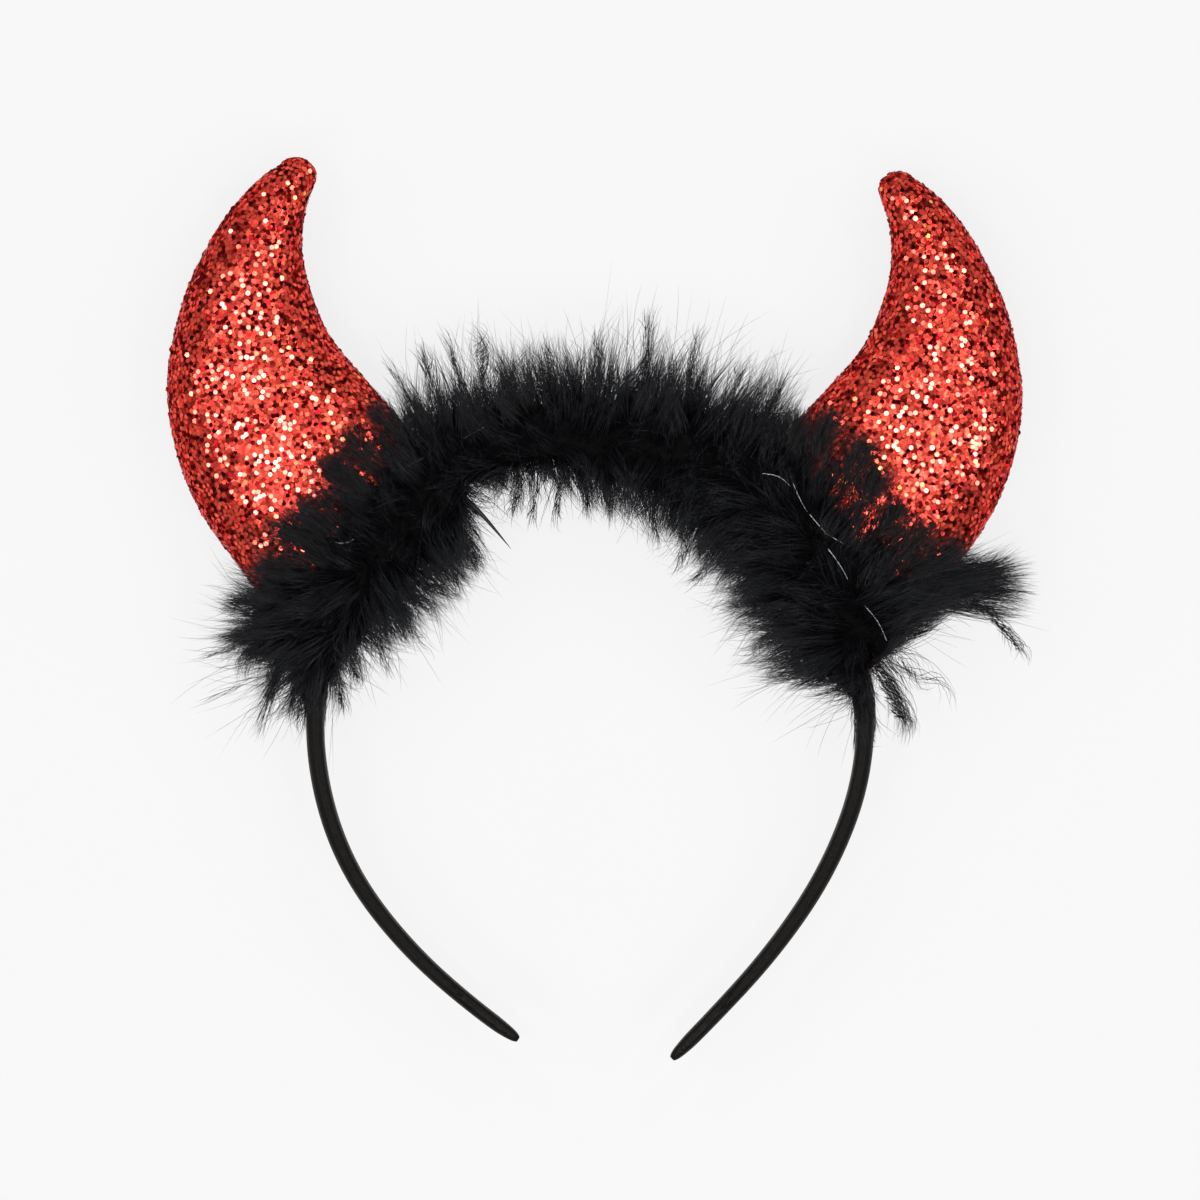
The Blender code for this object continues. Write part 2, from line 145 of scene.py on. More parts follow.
# Tufts that stand out of the down, in millimetres from the arc's centre
# From right, crown, front; to the same three; spread; number of strands
TUFTS = (
    (69.6, 30.9, 8, 105.2, 35.8, 3, 6, 354),
    (66, 36, 12, 92.5, 40.5, 6, 6, 229),
    (72, 34, 8, 101, 38.5, 3, 6, 316),
    (68.4, 31, 6, 105.9, 29.4, 2, 6.8, 463),
    (68.4, 30, 4, 103.3, 25.5, 1, 4.5, 204),
    (93.1, 25.7, 3, 102.8, 13.8, 1, 2, 60),
    (65.6, 21.5, 5, 80.1, 7.8, 2, 2.4, 34),
    (68.4, 19.1, 4, 86.2, 2.2, 2, 3, 19),
    (65.1, 16.8, 5, 74.5, -4.9, 2, 3.4, 165),
    (65.6, 19.1, 5, 73.1, 4.1, 2, 2.6, 18),
    (61.3, 19.1, 4, 60.4, 1.7, 2, 3, 80),
    (57.1, 21.5, 4, 51, 7.4, 2, 3.5, 80),
    (53.1, 23.8, 4, 39.5, 8.8, 2, 3, 26),
    (49.6, 26.2, 4, 33.1, 13.9, 1, 3, 40),
    (47.2, 29.7, 4, 28, 25.7, 1, 3, 30),
    (-69.8, 19.1, 5, -79, -4.6, 1, 2.9, 72),
    (-67.2, 16.8, 5, -71.4, -0.6, 2, 3.6, 100),
    (-64.4, 16.8, 4, -67.2, -3.7, 2, 2.9, 72),
    (-71.4, 22.6, 5, -88.6, 17.9, 2, 5.2, 206),
    (-71.4, 28.5, 6, -87.4, 27.1, 2, 5.2, 206),
    (-73.3, 12.3, 3, -93.3, 4.1, 1, 1.6, 10),
    (-77.3, 19.1, 3, -93.8, 14.9, 1, 2.9, 16),
    (-60.4, 16.8, 4, -58.3, 0.5, 2, 3.1, 72),
    (-57.3, 19.1, 4, -54.5, 7.4, 2, 3.9, 72),
    (-51.5, 23.8, 4, -45.8, 9.7, 1, 2.6, 26),
    (-47.9, 26.2, 4, -39.7, 18.9, 1, 3.9, 60),
    (-46.8, 28.5, 4, -36.7, 14.4, 1, 2.6, 14),
    (-67.9, 28.5, 7, -83.2, 9.7, 2, 6.5, 253),
    (-66, 25.7, 6, -78.3, 3.6, 2, 5.2, 206),
    (-41.6, 74.3, 8, -48.2, 85.8, 3, 2.3, 21),
    (-36, 76.7, 9, -40.2, 89.4, 3, 3.2, 52),
    (-29.8, 77.9, 9, -35.7, 92.2, 3, 2, 24),
    (-24.7, 78.3, 9, -28.4, 93.8, 3, 2.4, 44),
    (-5.4, 76.4, 8, -10.8, 91.3, 3, 2.4, 50),
    (3.5, 76.7, 8, 1.9, 93.8, 3, 2.2, 36),
    (12.9, 75.5, 8, 14.1, 98.3, 3, 2.8, 54),
    (22.3, 73.6, 9, 27, 94.8, 3, 2.4, 46),
    (31.7, 70.8, 9, 37.4, 86.3, 3, 2.8, 44),
    (39.2, 68, 9, 47.2, 83, 4, 2.8, 50),
    (-16.2, 59.5, 4, -17.9, 47.1, 2, 2.8, 60),
    (-11.5, 58.1, 4, -14.6, 44.3, 2, 2, 36),
    (-6.3, 59.1, 4, -8, 45.2, 2, 2.4, 50),
    (-0.7, 59.5, 4, -0.5, 46.6, 2, 2.6, 50),
    (5.4, 59.1, 4, 4.5, 45.4, 2, 2.4, 44),
    (14.3, 54.4, 4, 15.3, 40, 2, 2.6, 50),
    (23.7, 47.3, 4, 19.5, 34.6, 1, 2.4, 36),
    (30.8, 41.4, 4, 22.8, 30.9, 1, 2.4, 36),
    (-30.3, 47.3, 4, -25.6, 34.4, 1, 2.6, 44),
    (-35, 42.6, 4, -29.8, 29.4, 1, 2.4, 36),
    (-63.7, 34.4, 17, -79.2, 38.8, 14, 6.8, 227),
    (-59.9, 37.9, 19, -75.9, 46.4, 17, 8.5, 303),
    (-57.6, 43.5, 21, -69.6, 52.2, 18, 8.5, 265),
    (-51, 52, 23, -63.7, 63.3, 18, 6.2, 265),
    (-48.2, 59.1, 23, -58, 68.9, 18, 7.1, 265),
    (-43.5, 66.1, 22, -51.9, 74.6, 17, 6.2, 211),
    (74.3, 34.4, 18, 87.7, 42.6, 15, 7.1, 227),
    (70.3, 36.5, 20, 80.1, 47.3, 17, 8.5, 303),
    (67, 42.6, 21, 72.6, 53.4, 18, 7.6, 265),
    (61.8, 49.2, 23, 69.3, 60, 18, 8.5, 341),
    (58.5, 53.9, 23, 65.8, 68.2, 18, 7.1, 341),
    (51.5, 60.9, 23, 58.3, 73.2, 17, 7.1, 303),
    (45.4, 63.3, 22, 49.6, 73.6, 16, 6.2, 211),
    (40.7, 64.7, 20, 42.1, 71.3, 14, 5.5, 135),
    (63, 29, 18, 72, 40.5, 18, 5.5, 150),
    (70, 27, 16, 79, 36, 16, 5, 120),
    (61, 15, 5, 69.5, 12, 6, 3, 70),
)

# Pieces of the marabou from right to left, with the degrees round the arc where each starts
FLUFF_PIECES = (
    ("marabou_right_end", -60.0),
    ("marabou_right", 24.0),
    ("marabou_crown_right", 52.0),
    ("marabou_crown_left", 90.0),
    ("marabou_left", 132.0),
)

HORN_SKINS = ("left_horn_ground", "right_horn_ground")
FLAKE_DEPTH = 0.45 * MM
# Share of flakes painted near-black maroon: painted dark reflections, as if these flakes mirrored
# dark surroundings
PAINTED_DARK_REFLECTION_SHARE = 0.28

# Down: strands in a tuft of the coat, share that strays, lone wisps, gaps to the solids, and how
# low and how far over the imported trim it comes
TUFT_STRANDS = 26
STRAY_SHARE = 0.20
WISPS = 1100
CORE_GAP = 0.3 * MM
STRAND_GAP = 0.35 * MM
LEAST_HEIGHT = 0.4 * MM
HEADROOM = 7.0 * MM

# Core threads that show on the marabou, in millimetres from the arc's centre: right, crown
THREADS = (
    ((-29.4, 66.3), (-27.2, 67.6), (-24.7, 68.9)),
    ((-43.0, 59.5), (-41.0, 60.6), (-38.8, 61.6)),
    ((-61.1, 42.3), (-58.8, 41.9), (-56.2, 41.8), (-54.8, 42.8)),
    ((40.0, 58.0), (42.2, 57.8), (44.8, 56.9), (46.3, 55.2)),
    ((47.2, 55.7), (49.0, 51.0), (52.0, 47.2), (54.5, 44.4)),
    ((54.5, 44.2), (57.2, 42.7), (59.9, 41.1)),
    ((55.2, 40.4), (57.8, 37.4), (59.9, 33.4)),
    ((62.7, 28.2), (65.6, 25.4), (67.6, 22.4), (68.6, 19.3)),
)
THREAD_RADIUS = 0.06 * MM
THREAD_LIFT = 2.0 * MM
THREAD_WEAVE = (0.55, 1.25)

# One bare quill on the head's side: right, crown, over the band's middle plane, in millimetres
QUILL = ((-34.0, 56.5, 4.0), (-28.5, 51.8, 7.0), (-24.0, 47.4, 6.0), (-18.6, 40.7, 3.0))
QUILL_RADIUS = 0.58 * MM

# Soft lights round the camera: degrees off the vertical, compass degrees, width in metres, strength
LIGHTS = (
    (9, 255, 0.26, 1),
    (17, 345, 0.26, 1),
    (19, 190, 0.26, 1),
    (22, 90, 0.21, 0.8),
    (27, 268, 0.29, 1),
    (31, 25, 0.26, 0.9),
    (32, 155, 0.26, 0.9),
    (37, 228, 0.31, 1),
    (38, 312, 0.31, 1),
    (44, 60, 0.26, 0.7),
    (44, 120, 0.26, 0.7),
    (52, 0, 0.39, 0.5),
    (53, 180, 0.39, 0.5),
)
LIGHT_DISTANCE = 1.15
LIGHT_RADIANCE = 22.0

# World: place on its ramp from straight down to straight up, and grey there
SKY = ((0.15, 0.46), (0.85, 0.69))
FLOOR_SIZE = 6.0


def length_property(name, description, default, least, most):
    """A length whose default and limits are given in millimetres."""
    limits = {"default": default * MM, "min": least * MM, "max": most * MM}
    return bpy.props.FloatProperty(name=name, description=description, unit="LENGTH", **limits)


def count_property(name, description, default, least, most):
    return bpy.props.IntProperty(
        name=name, description=description, default=default, min=least, max=most
    )


def colour_property(name, description, default):
    return bpy.props.FloatVectorProperty(
        name=name, description=description, default=default, subtype="COLOR", min=0.0, max=1.0
    )


class HeadbandSizes(bpy.types.PropertyGroup):
    """Sizes that a user would change."""

    flake_size: length_property(
        "Flake Size", "Width of a glitter flake between opposite corners", 1.20, 0.4, 3.0
    )
    flake_spacing: length_property(
        "Flake Spacing", "Least distance between the middles of two glitter flakes", 0.92, 0.3, 2.0
    )
    flake_count: count_property("Flakes", "Most glitter flakes on one horn", 12500, 1000, 19000)
    flake_tilt: bpy.props.FloatProperty(
        name="Flake Tilt",
        description="How far a typical glitter flake is tipped out of the surface",
        default=math.radians(12.0),
        min=0.0,
        max=math.radians(40.0),
        subtype="ANGLE",
    )
    strand_count: count_property(
        "Strands", "Number of strands of down all round the band", 30000, 1000, 36000
    )
    strand_length: length_property(
        "Strand Length", "Length of a typical strand of down", 14.0, 2.0, 40.0
    )
    strand_width: length_property(
        "Strand Width", "Width of a strand of down at its root", 0.19, 0.03, 0.5
    )


class HeadbandColours(bpy.types.PropertyGroup):
    """Colours that a user would change."""

    glitter: colour_property("Glitter", "Colour of the horns' glitter foil", (0.74, 0.062, 0.042))
    satin: colour_property("Satin", "Colour of the band's satin", (0.0017, 0.0013, 0.0011))
    marabou: colour_property("Marabou", "Colour of the down", (0.0009, 0.0009, 0.0011))


def sizes():
    return bpy.context.scene.headband_sizes


def colours():
    return bpy.context.scene.headband_colours


class Term:
    """A shader socket that is used as a number in Python expressions."""

    def __init__(self, finish, socket):
        self.finish = finish
        self.socket = socket

    def maths(self, operation, *others):
        node = self.finish.node(
            "ShaderNodeMath", {"operation": operation}, dict(enumerate((self, *others)))
        )
        return Term(self.finish, node.outputs[0])

    def __add__(self, other):
        return self.maths("ADD", other)

    def __rsub__(self, other):
        return (self * -1.0) + other

    def __mul__(self, other):
        return self.maths("MULTIPLY", other)


class Finish:
    """A node material on one Principled shader."""

    def __init__(self, name):
        self.material = bpy.data.materials.new(name)
        self.material.use_nodes = True
        self.tree = self.material.node_tree
        self.shader = self.tree.nodes["Principled BSDF"]

    def node(self, kind, settings=None, inputs=None):
        node = self.tree.nodes.new(kind)
        for setting, value in (settings or {}).items():
            if setting == "stops":
                self.set_stops(node.color_ramp, value)
            else:
                setattr(node, setting, value)
        for key, value in (inputs or {}).items():
            self.feed(node.inputs[key], value)
        return node

    def set_stops(self, ramp, stops):
        while len(ramp.elements) < len(stops):
            ramp.elements.new(0.5)
        for element, (place, colour) in zip(ramp.elements, stops):
            element.position = place
            element.color = (*colour, 1.0)

    def feed(self, socket, value):
        if isinstance(value, Term):
            value = value.socket
        if isinstance(value, bpy.types.NodeSocket):
            self.tree.links.new(value, socket)
        elif isinstance(value, tuple) and socket.type == "RGBA":
            socket.default_value = (*value[:3], 1.0)
        else:
            socket.default_value = value

    def set(self, values):
        for name, value in values.items():
            self.feed(self.shader.inputs[name], value)

    def place(self):
        """Object coordinates in millimetres."""
        coordinates = self.node("ShaderNodeTexCoord")
        scale = (1 / MM, 1 / MM, 1 / MM)
        inputs = {"Vector": coordinates.outputs["Object"], "Scale": scale}
        return self.node("ShaderNodeMapping", {}, inputs).outputs[0]

    def vector(self, operation, first, second):
        inputs = {0: first, 1: second}
        return self.node("ShaderNodeVectorMath", {"operation": operation}, inputs).outputs[0]

    def attribute(self, name):
        return Term(self, self.node("ShaderNodeAttribute", {"attribute_name": name}).outputs["Fac"])

    def noise(self, scale, detail=3.0, roughness=0.5):
        inputs = {"Vector": self.place(), "Scale": scale, "Detail": detail, "Roughness": roughness}
        return Term(self, self.node("ShaderNodeTexNoise", {}, inputs).outputs["Fac"])

    def blend(self, share, first, second):
        node = self.node("ShaderNodeMix", {"data_type": "RGBA"})
        self.feed(node.inputs[0], share)
        self.feed(node.inputs[6], first)
        self.feed(node.inputs[7], second)
        return node.outputs[2]

    def ramp(self, share, stops):
        return self.node("ShaderNodeValToRGB", {"stops": stops}, {"Fac": share}).outputs["Color"]

    def bump(self, height, strength, distance):
        inputs = {"Height": height, "Strength": strength, "Distance": distance}
        self.set({"Normal": self.node("ShaderNodeBump", {}, inputs).outputs[0]})


def scaled(colour, share):
    return tuple(channel * share for channel in colour)


def glitter_foil():
    """Hexagonal foil flakes: each takes its colour, from maroon to orange, from its own attribute;
    the near-black maroon ones are painted dark reflections.
    """
    red = tuple(colours().glitter)
    finish = Finish("glitter_foil")
    # The bottom of the ramp, near-black maroon, is painted dark reflection
    stops = (
        (0.00, (0.020, 0.0005, 0.001)),
        (0.15, (0.10, 0.002, 0.003)),
        (0.30, scaled(red, 0.55)),
        (0.42, red),
        (0.72, (0.84, 0.085, 0.045)),
        (0.90, (0.90, 0.16, 0.065)),
        (1.00, (0.95, 0.36, 0.08)),
    )
    tone = finish.attribute("tone")
    finish.set({
        "Base Color": finish.ramp(tone, stops),
        "Metallic": 0.94,
        "Roughness": finish.noise(2.5) * 0.08 + 0.08,
        "Specular Tint": red,
        "Coat Weight": tone.maths("MULTIPLY_ADD", 1.4, -0.3).maths("MINIMUM", 0.5),
        "Coat Roughness": 0.05,
    })
    return finish.material


def glitter_ground():
    """Lacquered ground between the flakes: a mosaic of sunken flakes, each with its own tilt and a
    painted sparkle from dark to bright red.
    """
    red = tuple(colours().glitter)
    finish = Finish("glitter_ground")
    place = finish.place()
    cells = finish.node("ShaderNodeTexVoronoi", {"feature": "F1"}, {"Vector": place, "Scale": 1.05})
    parts = finish.node("ShaderNodeSeparateColor", {}, {"Color": cells.outputs["Color"]})
    # Painted sparkle: each sunken flake gets a colour from dark to bright red, standing in for what
    # it reflects
    painted_sparkle = Term(finish, parts.outputs["Red"])
    away = finish.vector("SUBTRACT", place, cells.outputs["Position"])
    tilt = finish.vector("SUBTRACT", cells.outputs["Color"], (0.5, 0.5, 0.5))
    slope = finish.node("ShaderNodeVectorMath", {"operation": "DOT_PRODUCT"}, {0: away, 1: tilt})
    finish.set({
        "Base Color": finish.blend(painted_sparkle * painted_sparkle, scaled(red, 0.10), scaled(red, 0.85)),
        "Metallic": 0.85,
        "Roughness": painted_sparkle * 0.12 + 0.14,
        "Specular Tint": red,
    })
    finish.bump(Term(finish, slope.outputs["Value"]), 1.0, 0.40 * MM)
    return finish.material


def satin_cloth():
    """Satin ribbon: fine threads along the band, soft puckers and small snags."""
    black = tuple(colours().satin)
    finish = Finish("satin_cloth")
    across = finish.attribute("across")
    along = finish.attribute("along")
    slubs = finish.noise(0.5, detail=5.0)
    threads = (across * 30.0 + slubs * 6.0).maths("SINE")
    puckers = (along * 1.9 + across * 0.6 + slubs * 9.0).maths("SINE")
    finish.set({
        "Base Color": finish.blend(slubs, scaled(black, 0.6), scaled(black, 1.8)),
        "Roughness": slubs * 0.2 + threads * 0.03 + 0.30,
        "Specular IOR Level": 0.035,
    })
    finish.bump(threads * 0.15 + puckers * 0.25 + slubs, 0.6, 0.18 * MM)
    return finish.material


def marabou_down():
    """Black down: near black at the roots, with a painted cool grey light towards the tips."""
    black = tuple(colours().marabou)
    finish = Finish("marabou_down")
    shade = finish.attribute("shade")
    patch = finish.noise(0.16)
    # Painted light: the cool grey towards the tips stands in for light shining through and off the
    # thin strand ends
    painted_tip_grey = (black[0] * 8.0, black[1] * 9.0, black[2] * 10.5)
    finish.set({
        "Base Color": finish.blend(shade * (patch + 0.5), black, painted_tip_grey),
        "Roughness": 0.42 - shade * 0.12,
        "Specular IOR Level": 0.13,
    })
    return finish.material


def marabou_ground():
    """The packed down under the strands."""
    black = tuple(colours().marabou)
    finish = Finish("marabou_ground")
    streaks = finish.noise(0.9, detail=6.0, roughness=0.7)
    finish.set({
        "Base Color": finish.blend(streaks, scaled(black, 0.4), scaled(black, 1.2)),
        "Roughness": streaks * 0.1 + 0.85,
        "Specular IOR Level": 0.03,
    })
    finish.bump(streaks, 0.8, 0.5 * MM)
    return finish.material


def core_thread():
    """Pale glossy thread from the middle of the boa, with painted shade that darkens it to near
    black in random stretches.
    """
    finish = Finish("core_thread")
    # Painted shade: random stretches of the pale thread are darkened to near black
    painted_thread_shade = finish.noise(3.0)
    finish.set({
        "Base Color": finish.blend(painted_thread_shade, (0.05, 0.055, 0.06), (0.42, 0.44, 0.46)),
        "Roughness": painted_thread_shade * 0.15 + 0.25,
    })
    return finish.material


def quill_horn():
    """Bare shaft of a plume: dark and glossy."""
    finish = Finish("quill_horn")
    streaks = finish.noise(1.4)
    finish.set({
        "Base Color": finish.blend(streaks, (0.002, 0.002, 0.0025), (0.005, 0.005, 0.006)),
        "Roughness": streaks * 0.1 + 0.4,
        "Specular IOR Level": 0.15,
    })
    return finish.material


def floor_paper():
    """Plain white paper that glows a little, as on a light table."""
    finish = Finish("floor_paper")
    grain = finish.noise(0.02, detail=2.0)
    finish.set({
        "Base Color": finish.blend(grain, (0.039, 0.039, 0.039), (0.041, 0.041, 0.041)),
        "Roughness": grain * 0.05 + 0.9,
        "Specular IOR Level": 0.0,
        "Emission Color": (1.0, 1.0, 1.0),
        "Emission Strength": 0.80,
    })
    return finish.material


def select_only(obj):
    bpy.ops.object.select_all(action="DESELECT")
    obj.select_set(True)
    bpy.context.view_layer.objects.active = obj


def add_object(name, data):
    obj = bpy.data.objects.new(name, data)
    bpy.context.scene.collection.objects.link(obj)
    return obj


def merged_copy(node, name):
    """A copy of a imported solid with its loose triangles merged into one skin."""
    obj = add_object(name, frame["nodes"][node].data.copy())
    obj.data.materials.clear()
    select_only(obj)
    bpy.ops.object.mode_set(mode="EDIT")
    bpy.ops.mesh.select_all(action="SELECT")
    bpy.ops.mesh.remove_doubles(threshold=0.005 * MM)
    bpy.ops.object.mode_set(mode="OBJECT")
    return obj


def apply_modifier(obj, kind, **settings):
    select_only(obj)
    modifier = obj.modifiers.new(kind.title(), kind)
    for key, value in settings.items():
        setattr(modifier, key, value)
    bpy.ops.object.modifier_apply(modifier=modifier.name)


def subdivided(obj, levels, crease_angle):
    """Round a merged skin off, and keep the rims that are sharper than an angle."""
    select_only(obj)
    bpy.ops.object.mode_set(mode="EDIT")
    bpy.ops.mesh.select_all(action="SELECT")
    bpy.ops.mesh.tris_convert_to_quads(
        face_threshold=math.radians(20.0), shape_threshold=math.radians(60.0)
    )
    bpy.ops.mesh.select_all(action="DESELECT")
    bpy.ops.mesh.select_mode(type="EDGE")
    bpy.ops.mesh.edges_select_sharp(sharpness=crease_angle)
    bpy.ops.transform.edge_crease(value=0.85)
    bpy.ops.object.mode_set(mode="OBJECT")
    apply_modifier(obj, "SUBSURF", levels=levels, render_levels=levels)
    bpy.ops.object.shade_smooth_by_angle(angle=math.radians(45.0))


def coordinates(obj):
    flat = np.empty(len(obj.data.vertices) * 3, np.float32)
    obj.data.vertices.foreach_get("co", flat)
    return flat.reshape(-1, 3).astype(float)


def move_vertices(obj, points):
    obj.data.vertices.foreach_set("co", points.astype(np.float32).ravel())
    obj.data.update()


def skin_tree(obj):
    mesh = obj.data
    mesh.calc_loop_triangles()
    faces = [tuple(triangle.vertices) for triangle in mesh.loop_triangles]
    return BVHTree.FromPolygons([vertex.co.copy() for vertex in mesh.vertices], faces)


def add_floats(mesh, name, values):
    mesh.attributes.new(name, "FLOAT", "POINT").data.foreach_set("value", values.astype(np.float32))


def mesh_piece(name, points, faces, material, floats, flat=False):
    """One joined mesh from arrays: faces holds an index array for each number of corners."""
    mesh = bpy.data.meshes.new(name)
    mesh.vertices.add(len(points))
    mesh.vertices.foreach_set("co", points.astype(np.float32).ravel())
    corners = np.concatenate([group.ravel() for group in faces])
    counts = np.concatenate([np.full(len(group), group.shape[1]) for group in faces])
    mesh.loops.add(len(corners))
    mesh.loops.foreach_set("vertex_index", corners.astype(np.int32))
    mesh.polygons.add(len(counts))
    mesh.polygons.foreach_set("loop_start", (np.cumsum(counts) - counts).astype(np.int32))
    mesh.update(calc_edges=True)
    if flat:
        mesh.shade_flat()
    for key, values in floats.items():
        add_floats(mesh, key, values)
    mesh.materials.append(material)
    return add_object(name, mesh)


def settle(obj, slot, *nodes):
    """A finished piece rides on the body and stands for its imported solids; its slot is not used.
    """
    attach(obj, BODY)
    if nodes:
        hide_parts(*nodes)


def unit(vectors):
    return vectors / np.maximum(np.linalg.norm(vectors, axis=-1, keepdims=True), 1e-12)


def dot(first, second):
    return (first * second).sum(-1)


def band_rings(obj):
    """The band's cross sections from the left tip to the right one, by walking its merged skin."""
    points = coordinates(obj)
    left = points[:, 0] < points[:, 0].mean()
    tip = points[left][points[left][:, 1].argmin()]
    near = points[np.linalg.norm(points - tip, axis=1) < TIP_REACH]
    axis = np.linalg.svd(near - near.mean(0))[2][0]
    axis *= np.sign((tip - near.mean(0)) @ axis)
    ahead = np.where(left & (np.linalg.norm(points - tip, axis=1) < TIP_REACH), points @ axis, -1.0)
    ring = set(np.argsort(-ahead)[:SECTION_POINTS].tolist())
    neighbours = [set() for _ in points]
    for edge in obj.data.edges:
        first, second = edge.vertices
        neighbours[first].add(second)
        neighbours[second].add(first)
    seen = set()
    rings = []
    while ring:
        rings.append(points[sorted(ring)])
        seen |= ring
        ring = set().union(*(neighbours[vertex] for vertex in ring)) - seen
    return rings


class BandPath:
    """The band's centre line as close points, with the length so far and the outward direction."""

    def __init__(self, rings):
        centres = np.array([(ring.min(0) + ring.max(0)) / 2 for ring in rings])
        steps = np.linalg.norm(np.diff(centres, axis=0), axis=1)
        lengths = np.concatenate([[0.0], np.cumsum(steps)])
        self.length = np.linspace(0.0, lengths[-1], PATH_POINTS)
        lines = [np.interp(self.length, lengths, centres[:, k]) for k in range(3)]
        self.points = np.stack(lines, 1)
        tangents = unit(np.gradient(self.points, axis=0))
        self.outward = unit(np.cross(UP, tangents))
        self.tree = KDTree(len(self.points))
        for index, point in enumerate(self.points):
            self.tree.insert(point, index)
        self.tree.balance()

    def locate(self, points):
        """Length along the band, and distance outwards and forwards of it, for each point."""
        nearest = np.array([self.tree.find(Vector(point))[1] for point in points])
        offset = points - self.points[nearest]
        return self.length[nearest], dot(offset, self.outward[nearest]), offset[:, 2]


class Arc:
    """The arc over the crown: its centre, its centre line's radius, and directions at an angle."""

    def __init__(self):
        low, high = (np.array(corner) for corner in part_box("headband"))
        outside = (high[0] - low[0]) / 2
        self.centre = np.array([(low[0] + high[0]) / 2, high[1] - outside, (low[2] + high[2]) / 2])
        self.radius = outside - BAND_THICKNESS / 2

    def outward(self, angle):
        return np.stack([np.cos(angle), np.sin(angle), np.zeros_like(angle)], -1)

    def along(self, angle):
        return np.stack([-np.sin(angle), np.cos(angle), np.zeros_like(angle)], -1)

    def point(self, angle, reach, height):
        flat = self.outward(angle) * (self.radius + reach)[..., None]
        return self.centre + flat + height[..., None] * UP

    def locate(self, points):
        """Angle round the arc, and distance away from the head and forwards, for each point."""
        offset = points - self.centre
        angle = np.arctan2(offset[..., 1], offset[..., 0])
        angle = np.where(angle < -math.pi / 2, angle + 2 * math.pi, angle)
        return angle, np.hypot(offset[..., 0], offset[..., 1]) - self.radius, offset[..., 2]


def outline_column(degrees, column):
    table = np.array(FLUFF_OUTLINE)
    return np.interp(degrees, table[:, 0], table[:, column])


def waves(rng, count, least, most):
    """Smooth noise in three dimensions: a sum of sines with random directions and phases."""
    directions = unit(rng.normal(size=(count, 3))) * rng.uniform(least, most, (count, 1))
    phases = rng.uniform(0.0, 2 * math.pi, count)

    def field(points):
        return np.sin(points @ directions.T + phases).sum(-1) / math.sqrt(count / 2)

    return field


def sample_skin(obj, count, rng, weight=None):
    """Random points on a skin, with the smooth normal there, spread evenly or by a weight."""
    mesh = obj.data
    mesh.calc_loop_triangles()
    corners = np.empty(len(mesh.loop_triangles) * 3, np.int32)
    mesh.loop_triangles.foreach_get("vertices", corners)
    corners = corners.reshape(-1, 3)
    points = coordinates(obj)
    normals = np.empty(len(points) * 3, np.float32)
    mesh.vertex_normals.foreach_get("vector", normals)
    normals = normals.reshape(-1, 3).astype(float)
    a, b, c = (points[corners[:, k]] for k in range(3))
    cross = np.cross(b - a, c - a)
    share = np.linalg.norm(cross, axis=1)
    if weight is not None:
        share = share * weight((a + b + c) / 3, unit(cross))
    picks = rng.choice(len(corners), count, p=share / share.sum())
    u = np.sqrt(rng.uniform(size=(count, 1)))
    v = rng.uniform(size=(count, 1))
    shares = (1 - u, u * (1 - v), u * v)
    spots = sum(points[corners[picks, k]] * shares[k] for k in range(3))
    leans = unit(sum(normals[corners[picks, k]] * shares[k] for k in range(3)))
    return spots, leans


def spread_out(points, spacing, most):
    """Indices of points that keep at least a spacing from each other, in the order given."""
    cells = {}
    kept = []
    keys = np.floor(points / spacing).astype(int).tolist()
    places = points.tolist()
    around = list(itertools.product((-1, 0, 1), repeat=3))
    for index, ((i, j, k), (x, y, z)) in enumerate(zip(keys, places)):
        near = (
            places[other] for a, b, c in around for other in cells.get((i + a, j + b, k + c), ())
        )
        if all((x - u) ** 2 + (y - v) ** 2 + (z - w) ** 2 >= spacing * spacing for u, v, w in near):
            cells.setdefault((i, j, k), []).append(index)
            kept.append(index)
            if len(kept) == most:
                break
    return np.array(kept)


def build_band():
    """The satin band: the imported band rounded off, with its edge seam and soft puckers."""
    band = merged_copy("headband", "satin_band")
    path = BandPath(band_rings(band))
    subdivided(band, 2, math.radians(70.0))
    points = coordinates(band)
    along, out, across = path.locate(points)
    rng = np.random.default_rng(4)
    pucker = waves(rng, 14, 500.0, 1900.0)(points)
    half = BAND_WIDTH / 2
    edge = np.clip((np.abs(across) - 0.6 * half) / (0.3 * half), 0.0, 1.0)
    ridge = np.exp(-((out - 0.1 * MM) / (0.32 * MM)) ** 2) * edge
    side = np.sign(across)
    points[:, 2] += side * ridge * 0.30 * MM + side * edge * pucker * 0.05 * MM
    move_vertices(band, points)
    add_floats(band.data, "along", along / MM)
    add_floats(band.data, "across", np.where(edge > 0.5, out, across) / MM)
    band.data.materials.append(satin_cloth())
    settle(band, "satin", "headband")


def build_horns():
    """The horns' lacquered ground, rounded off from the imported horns."""
    ground = glitter_ground()
    for node in ("left_horn", "right_horn"):
        skin = merged_copy(node, node + "_ground")
        subdivided(skin, 1, math.radians(50.0))
        skin.data.materials.append(ground)
        settle(skin, "glitter", node)


